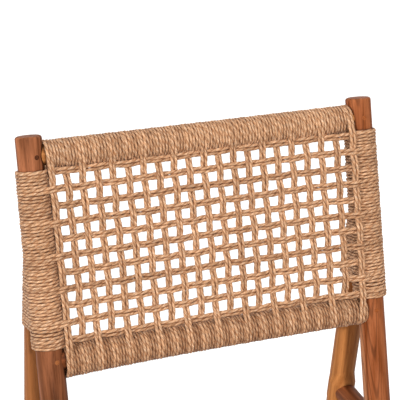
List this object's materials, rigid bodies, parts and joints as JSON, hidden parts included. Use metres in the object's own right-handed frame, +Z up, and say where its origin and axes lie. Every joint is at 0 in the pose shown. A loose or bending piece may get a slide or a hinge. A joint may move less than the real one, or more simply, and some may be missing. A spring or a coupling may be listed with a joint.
{
  "type": "dining chair",
  "caption": "Dining chair of round teak sticks with pegged joints, a leaning back on raked rear legs, and an open rope weave on the back and the seat.",
  "frame": {"origin": "on the floor, under the middle of the chair's box", "axes": "+Z up, the chair faces -Y, +X to the right as seen from the front"},
  "size_m": [0.49, 0.6276, 0.8733],
  "materials": {
    "teak": "oiled satin",
    "peg_wood": "oiled satin",
    "rope": "natural twisted fibre",
    "glide": "matte"
  },
  "bodies": {
    "root": {"back_post_left": "teak", "back_post_right": "teak", "rear_leg_left": "teak", "rear_leg_right": "teak", "front_leg_left": "teak", "front_leg_right": "teak", "back_top_rail": "teak", "back_bottom_rail": "teak", "seat_side_rail_left": "teak", "seat_side_rail_right": "teak", "seat_front_rail": "teak", "seat_rear_rail": "teak", "side_stretcher_left": "teak", "side_stretcher_right": "teak", "cross_stretcher": "teak", "back_rail_pegs": "peg_wood", "seat_rail_pegs": "peg_wood", "stretcher_pegs": "peg_wood", "post_foot_dowels": "peg_wood", "rear_leg_dowels": "peg_wood", "back_top_rail_winding": "rope", "back_bottom_rail_winding": "rope", "back_post_winding_left": "rope", "back_post_winding_right": "rope", "seat_front_rail_winding": "rope", "seat_rear_rail_winding": "rope", "seat_side_rail_winding_left": "rope", "seat_side_rail_winding_right": "rope", "back_net": "rope", "seat_net": "rope", "foot_glides": "glide"}
  },
  "joints": []
}
